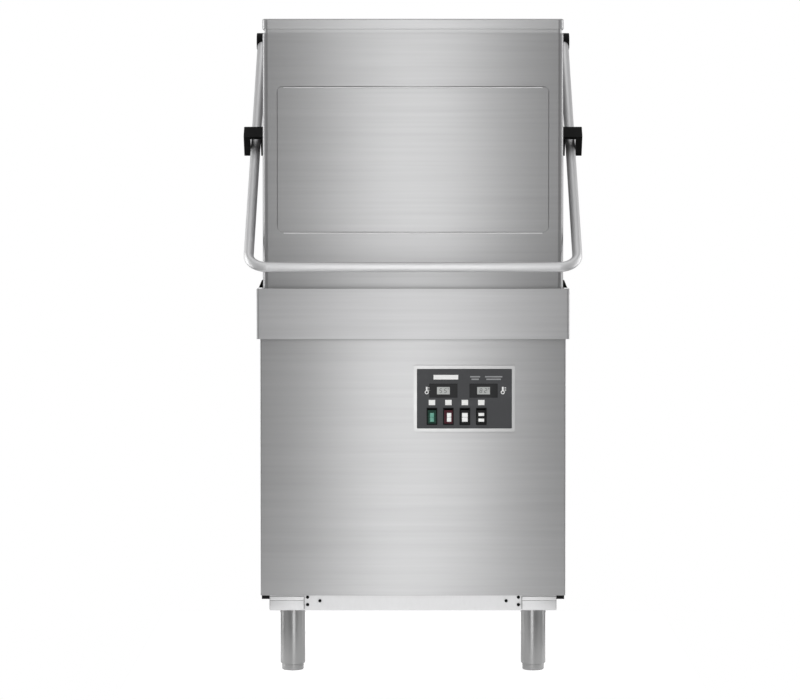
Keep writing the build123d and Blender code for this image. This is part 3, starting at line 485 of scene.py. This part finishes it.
def make_rocker_lenses():
    """Moulded lens in each rocker, in two halves that follow its dished face."""
    looks = ((lens_green, 0.0090, 0.0), (lens_white, 0.0125, 0.0030), (lens_white, 0.0125, 0.0),
             (lens_white, 0.0125, 0.0))
    pivot_y = panel_low.y + 0.003
    rise, tall, face_depth = radians(7.0), 0.0098, 0.0065
    for number, (x, (material, wide, shift)) in enumerate(zip(rocker_xs, looks), 1):
        low, high = rocker_boxes[number - 1]
        level = (low.z + high.z) / 2
        tilt = Matrix.Translation((x + shift / 2, pivot_y, level)) @ Matrix.Rotation(rise, 4, "X")
        form = Form()
        gap = 0.0030 if number == 4 else 0.0003
        for side in (-1, 1):
            face = Matrix.Translation((0, -face_depth, 0)) @ Matrix.Rotation(side * rise, 4, "X")
            size = Matrix.Diagonal((wide - shift, 0.0012, tall - gap, 1))
            middle = Matrix.Translation((0, 0, side * (tall + gap) / 2))
            made = bmesh.ops.create_cube(form.mesh, size=1.0, matrix=tilt @ face @ middle @ size)
            edges = {edge for vert in made["verts"] for edge in vert.link_edges}
            bmesh.ops.bevel(form.mesh, geom=list(edges), offset=0.0003, affect="EDGES",
                            segments=2, profile=0.5, material=-1)
        form.place(f"rocker_lens_{number}", material, f"rocker_{number}", "lamp_lens")


# ------------------------------------------------------------------ fittings
screw_steel = plain_steel("screw_steel", (0.62, 0.62, 0.63), 0.26)
# painted highlight: a brighter polished steel for the bars laid along the hood's pressed creases
painted_highlight_steel = polished_tube("painted_crease_highlight", (0.72, 0.72, 0.725), 0.50)
weld_steel = plain_steel("weld_bead", (0.40, 0.39, 0.38), 0.42)


def make_springs():
    """Close coils of round wire with hooks."""
    low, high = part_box("springs")
    wire, radius = 0.0022, 0.0148
    lower, upper = low.z + 0.012, high.z - 0.018
    middle_y = (low.y + high.y) / 2
    pitch = 0.0076
    turns = round((upper - lower) / pitch)
    both_x = (low.x + 0.017, high.x - 0.017)
    form = Form()
    for x in both_x:
        made = bmesh.ops.create_circle(form.mesh, segments=7, radius=wire)
        lay = Matrix.Translation((x + radius, middle_y, lower)) @ Matrix.Rotation(radians(90), 4, "X")
        bmesh.ops.transform(form.mesh, matrix=lay, verts=made["verts"])
        rim = list({edge for vert in made["verts"] for edge in vert.link_edges})
        steps = turns * 14
        bmesh.ops.spin(form.mesh, geom=made["verts"] + rim, cent=(x, middle_y, lower),
                       axis=up_axis, dvec=(0, 0, (upper - lower) / steps), angle=2 * pi * turns,
                       steps=steps, use_merge=False, use_duplicate=False)
        form.drum((x, middle_y, lower - 0.012), (x, middle_y, lower + 0.004), 0.0118, 0.0125, 24, 0.001)
        form.drum((x, middle_y, upper - 0.004), (x, middle_y, upper + 0.006), 0.0125, 0.006, 24, 0.001)
        form.drum((x, middle_y, upper + 0.004), (x, middle_y, high.z), 0.0022, None, 12)
    piece = form.place("counter_springs", zinc, "base", "spring_steel")
    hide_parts("springs")
    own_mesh(piece)


def make_rear_screws():
    """Screws round the rear panel, and down both flanks of the rear cover."""
    form = Form()
    low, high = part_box("rear_panel")
    edge, end, middle = 0.010, 0.012, 0.1
    for row in range(4):
        level = low.z + end + (high.z - low.z - 2 * end) * row / 3
        for x in (low.x + edge, high.x - edge):
            form.pan_screw((x, high.y, level), back_axis)
    for x in (-middle, middle):
        for level in (low.z + edge, high.z - edge):
            form.pan_screw((x, high.y, level), back_axis)
    low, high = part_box("rear_cover")
    edge, end = 0.014, 0.020
    for row in range(5):
        level = low.z + end + (high.z - low.z - 2 * end) * row / 4
        for side, x in ((-1, low.x), (1, high.x)):
            form.pan_screw((x, high.y - edge, level), (side, 0, 0))
    form.place("rear_screws", screw_steel, "base", "frame_steel")


def make_side_screws(side, word):
    """Three screws along the foot of one side panel."""
    low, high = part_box("side_panels")
    x = high.x if side > 0 else low.x
    form = Form()
    for y in (low.y + 0.04, (low.y + high.y) / 2, high.y - 0.04):
        form.pan_screw((x, y, low.z + 0.010), (side, 0, 0))
    form.place(f"side_screws_{word}", screw_steel, "base", "frame_steel")


# the handle's arms lean by the drop and the run from the lever shaft to the bar
arm_drop, arm_run = 1.410 - 0.894, 0.662
arm_lean = atan2(arm_drop, arm_run)


def make_saddle_fittings(side, word):
    """Two bolt heads on the outer face of a saddle block."""
    low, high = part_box(f"saddle_{word}")
    outer = high.x if side > 0 else low.x
    centre = (low + high) / 2
    lean = Matrix.Translation((0, centre.y, centre.z)) @ Matrix.Rotation(arm_lean, 4, "X")
    bolts = Form()
    for along in (-0.009, 0.009):
        spot = lean @ Vector((0, along, 0.0165))
        bolts.drum((outer - side * 0.002, spot.y, spot.z), (outer - side * 0.0003, spot.y, spot.z),
                   0.0052, 0.0046, 6, 0.0004)
    bolts.place(f"saddle_bolts_{word}", screw_steel, f"saddle_{word}", "frame_steel")


def make_foot_fittings():
    """Weld rings under the frame, two rings round each foot, and faces on the foot plates."""
    rail_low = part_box("base_frame")[0]
    bead_radius, bead_wire, ring_radius, ring_wire = 0.0272, 0.0012, 0.0236, 0.0008
    beads = Form()
    for name in feet:
        low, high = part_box(name)
        x, y = (low.x + high.x) / 2, (low.y + high.y) / 2
        beads.hoop((x, y, rail_low.z - 0.0008), up_axis, bead_radius, bead_wire, 48, 8)
        ring = Form()
        for level in (0.0128, 0.0096):
            ring.hoop((x, y, level), up_axis, ring_radius, ring_wire, 48, 8)
        ring.place(f"{name}_rings", foot_steel_painted_dark, name, "frame_steel")
    beads.place("sleeve_welds", weld_steel, "base", "frame_steel")
    faces = Form()
    mount_low, mount_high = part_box("foot_mounts")
    wide, skim = 0.075, 0.0004
    for side in (-1, 1):
        inner, outer = side * (mount_high.x - wide), side * (mount_high.x - 0.001)
        for low, high in ((rail_low.z + 0.0012, mount_high.z - 0.0098),
                          (mount_high.z - 0.0088, mount_high.z - 0.0008)):
            faces.slab((min(inner, outer), mount_low.y - skim, low),
                       (max(inner, outer), mount_low.y + skim, high), 0.0003)
    faces.place("foot_plate_faces", steel_rail, "base", "frame_steel")


def make_spray_jets():
    """Jet rims on the wash arms and nozzle tips on the rinse arms."""
    for name, up in (("lower_wash_arm", 1), ("upper_wash_arm", -1)):
        low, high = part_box(name)
        x0, y0 = (low.x + high.x) / 2, (low.y + high.y) / 2
        face = low.z + 0.023 if up > 0 else low.z + 0.001
        form = Form()
        for index in range(1, 5):
            for side in (-1, 1):
                x = x0 + side * (0.045 * index + 0.020)
                for edge in (-1, 1):
                    form.slab((x - 0.010, y0 + edge * 0.0036 - 0.0006, face - 0.0004),
                              (x + 0.010, y0 + edge * 0.0036 + 0.0006, face + 0.0008), 0.0003)
        form.place(f"{name}_jet_rims", screw_steel, name, "frame_steel")
    for name, up in (("lower_rinse_arm", 1), ("upper_rinse_arm", -1)):
        low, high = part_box(name)
        x0, y0 = (low.x + high.x) / 2, (low.y + high.y) / 2
        tip = high.z if up > 0 else low.z
        form = Form()
        for index in range(1, 5):
            for side in (-1, 1):
                x = x0 + side * 0.048 * index
                form.drum((x, y0, tip - up * 0.004), (x, y0, tip - up * 0.0005),
                          0.0052, 0.0046, 6, 0.0003)
        form.place(f"{name}_nozzles", brass, name, "brass_fitting")


def make_seams():
    """Folded hem round the hood's mouth, and bars of brighter polished steel along the pressing's
    creases as a painted highlight.
    """
    low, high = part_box("hood_wrap")
    form = Form()
    wire = 0.0014
    inset = 0.0022
    z = low.z + wire
    for side in (-1, 1):
        x = side * (high.x - inset)
        form.drum((x, low.y + 0.014, z), (x, high.y - 0.004, z), wire, None, 10)
    form.drum((low.x + 0.014, low.y + inset, z), (high.x - 0.014, low.y + inset, z), wire, None, 10)
    form.place("hood_hem", steel_plain, "hood", "panel_steel")
    # Half-sunk bright bars along the top and bottom edges of the pressing: a painted highlight where
    # the creases catch the light; rub is the bars' wire radius.
    crease = Form()
    lid_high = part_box("hood_lid")[1]
    press_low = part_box("collar")[1].z + 0.121
    reach, rub = high.x - 0.046, 0.0013
    for level, deep in ((lid_high.z - 0.1498, 0.0019), (press_low - 0.0068, 0.0001)):
        crease.drum((-reach, low.y + deep, level), (reach, low.y + deep, level), rub, None, 12)
    crease.place("press_crease_highlights", painted_highlight_steel, "hood", "panel_steel")


def make_pipe_fittings():
    """Barbs on the drain spigot, thread on the water inlet and ribs on the cable gland."""
    barbs, thread, gland = Form(), Form(), Form()
    low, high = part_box("drain_spigot")
    x, z = (low.x + high.x) / 2, (low.z + high.z) / 2
    barb_radius, barb_wire = 0.0194, 0.0012
    for back in (0.006, 0.013, 0.020):
        barbs.hoop((x, high.y - back, z), back_axis, barb_radius, barb_wire, 48, 8)
    barbs.place("drain_barbs", grey_moulded, "base", "grey_plastic")
    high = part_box("inlet_valve")[1]
    x, _, z = mounts["water_inlet"]["pos_m"]
    thread_pitch, thread_radius, thread_wire = 0.0021, 0.0127, 0.0007
    for turn in range(9):
        thread.hoop((x, high.y - 0.002 - thread_pitch * turn, z), back_axis,
                    thread_radius, thread_wire, 48, 8)
    thread.place("inlet_thread", brass, "base", "brass_fitting")
    low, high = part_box("cable_gland")
    x, z = (low.x + high.x) / 2, (low.z + high.z) / 2
    rib_pitch, rib_radius, rib_wire = 0.0035, 0.0135, 0.0009
    for turn in range(3):
        gland.hoop((x, high.y - 0.003 - rib_pitch * turn, z), back_axis, rib_radius, rib_wire, 40, 8)
    gland.place("gland_ribs", black_block, "base", "black_plastic")


make_print()
make_displays()
make_lamp_marks()
make_rocker_lenses()
make_springs()
make_rear_screws()
both(make_side_screws)
both(make_saddle_fittings)
make_foot_fittings()
make_spray_jets()
make_seams()
make_pipe_fittings()


# ------------------------------------------------------------------ studio

def make_camera():
    """Long studio view from the operator's side, from above the handle bar and slightly down."""
    distance, eye, tilt = 6.73, 1.10, 2.3
    data = bpy.data.cameras.new("studio_camera")
    data.sensor_width = 36.0
    data.lens = 138.6
    data.shift_x = -0.01625
    data.shift_y = -0.0679
    data.clip_end = 100.0
    camera = bpy.data.objects.new("studio_camera", data)
    camera.location = (0.0, front_y - distance, eye)
    camera.rotation_euler = (radians(90 - tilt), 0, 0)
    bpy.context.scene.collection.objects.link(camera)
    bpy.context.scene.camera = camera


def softbox(name, place, aim, width, height, watts):
    """Rectangular light turned towards a point."""
    data = bpy.data.lights.new(name, "AREA")
    data.shape, data.size, data.size_y = "RECTANGLE", width, height
    data.energy = watts
    lamp = bpy.data.objects.new(name, data)
    lamp.location = place
    towards = Vector(aim) - Vector(place)
    lamp.rotation_euler = towards.to_track_quat("-Z", "Y").to_euler()
    lamp.visible_camera = False
    bpy.context.scene.collection.objects.link(lamp)


def make_lights():
    softbox("front_strip", (0, front_y - 1.15, 0.75), (0, front_y, 0.75), 0.38, 2.6, 8.9)
    softbox("side_strip_left", (-1.9, 0.2, 1.0), (0, 0.2, 1.0), 0.7, 2.2, 16)
    softbox("side_strip_right", (1.9, 0.2, 1.0), (0, 0.2, 1.0), 0.7, 2.2, 13)
    softbox("top_wash", (0, 0, 4.2), (0, 0, 0), 3.0, 3.0, 20)
    softbox("back_wash", (0, 4.2, 2.4), (0, 0, 0.8), 3.0, 2.4, 20)


def make_world():
    """Pale room with dark flags at both sides, seen as plain white behind the machine."""
    room = Finish("studio_room")
    world = bpy.data.worlds.new("studio")
    world.use_nodes = True
    room.tree = world.node_tree
    background = room.tree.nodes["Background"]
    way = room.node("ShaderNodeTexCoord").out("Generated")
    ahead, up = room.axis("Y", way), room.axis("Z", way)
    front = (0.0 - ahead).smooth(0.02, 0.34) * 0.26
    behind = ahead.smooth(0.30, 0.75) * 0.30
    above = up.smooth(0.25, 0.80) * 0.30
    beside = abs(room.axis("X", way)).smooth(0.55, 0.90) * 0.34
    level = (front + behind + above + beside + 0.135).clamped()
    tone = room.mix(level, (0.0, 0.0, 0.0), (1.0, 1.0, 1.0))
    seen = room.node("ShaderNodeLightPath").out("Is Camera Ray")
    room.feed(background.inputs["Color"], room.mix(seen, tone, (1.0, 1.0, 1.0)))
    bpy.data.materials.remove(room.material)
    bpy.context.scene.world = world


def make_floor():
    """Small pale floor that glows enough to melt into the background."""
    mesh = bpy.data.meshes.new("studio_floor")
    form = bmesh.new()
    half_floor = 0.62
    bmesh.ops.create_grid(form, x_segments=1, y_segments=1, size=half_floor)
    form.to_mesh(mesh)
    form.free()
    floor = bpy.data.objects.new("studio_floor", mesh)
    bpy.context.scene.collection.objects.link(floor)
    finish = Finish("studio_floor_paint")
    speck = finish.noise(finish.place((6, 6, 6)), 1.0, 3.0, 0.5)
    finish.set(Base_Color=finish.mix(speck, (0.80, 0.80, 0.80), (0.83, 0.83, 0.83)),
               Roughness=0.9, Emission_Color=(1.0, 1.0, 1.0), Emission_Strength=0.75)
    mesh.materials.append(finish.material)


make_camera()
make_world()
make_lights()
make_floor()

bpy.context.scene.view_settings.view_transform = "Standard"
